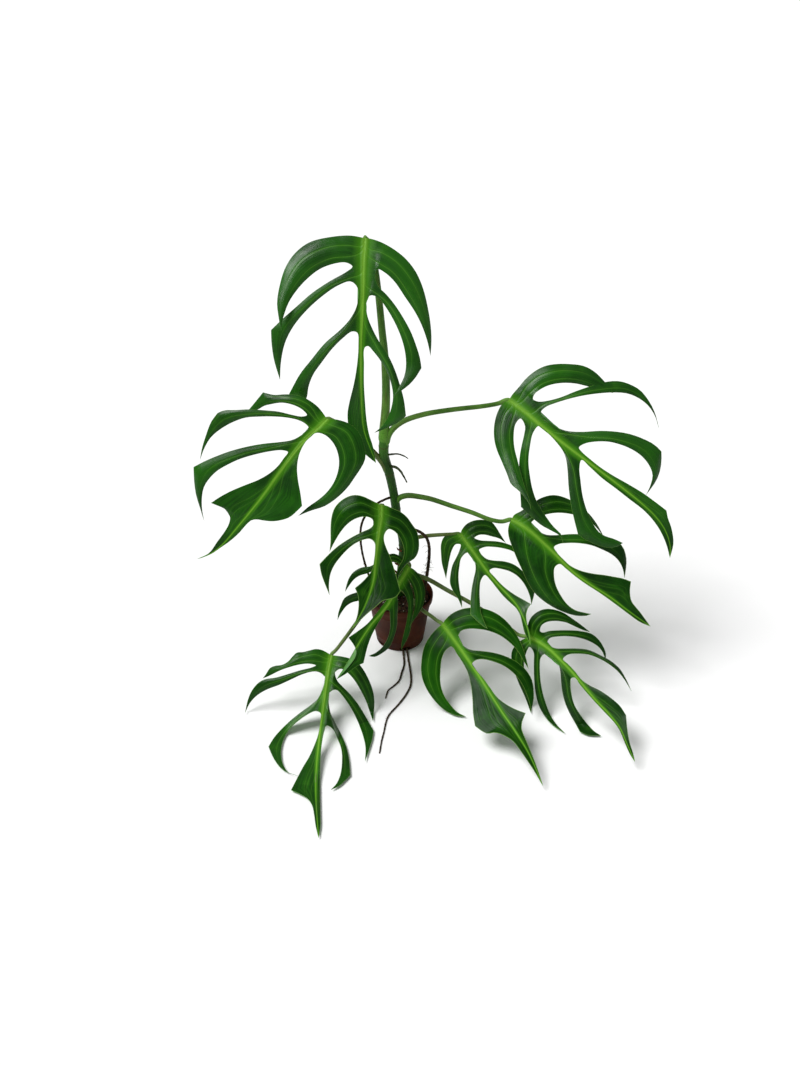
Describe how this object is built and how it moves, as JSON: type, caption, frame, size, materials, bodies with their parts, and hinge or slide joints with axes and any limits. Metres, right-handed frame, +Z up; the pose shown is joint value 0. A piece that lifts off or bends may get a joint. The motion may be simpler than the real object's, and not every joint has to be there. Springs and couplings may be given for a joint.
{
  "type": "potted monstera plant",
  "caption": "Young climbing aroid with deeply cut, pointed leaves on long stalks, aerial roots and a woody green stem, in a plain tapered plastic nursery pot.",
  "frame": {"origin": "centre of the pot's underside, on the surface the pot stands on", "axes": "+Z up along the pot's axis, -Y towards the side the leaves face, +X to the right as seen from that side"},
  "size_m": [0.8616, 0.6494, 0.8212],
  "materials": {
    "pot": "satin",
    "soil": "rough",
    "stem": "satin",
    "root": "rough",
    "leaf": "glossy"
  },
  "bodies": {
    "root": {"pot": "pot", "soil": "soil", "stem": "stem", "root_air_upper": "root", "root_air_middle": "root", "root_air_left": "root", "root_air_right": "root", "root_trailing_short": "root", "root_trailing_long": "root", "leaf_a": "leaf", "leaf_b": "leaf", "leaf_c": "leaf", "leaf_d": "leaf", "leaf_e": "leaf", "leaf_f": "leaf", "leaf_g": "leaf", "leaf_h": "leaf", "leaf_i": "leaf", "leaf_j": "leaf"}
  },
  "joints": []
}
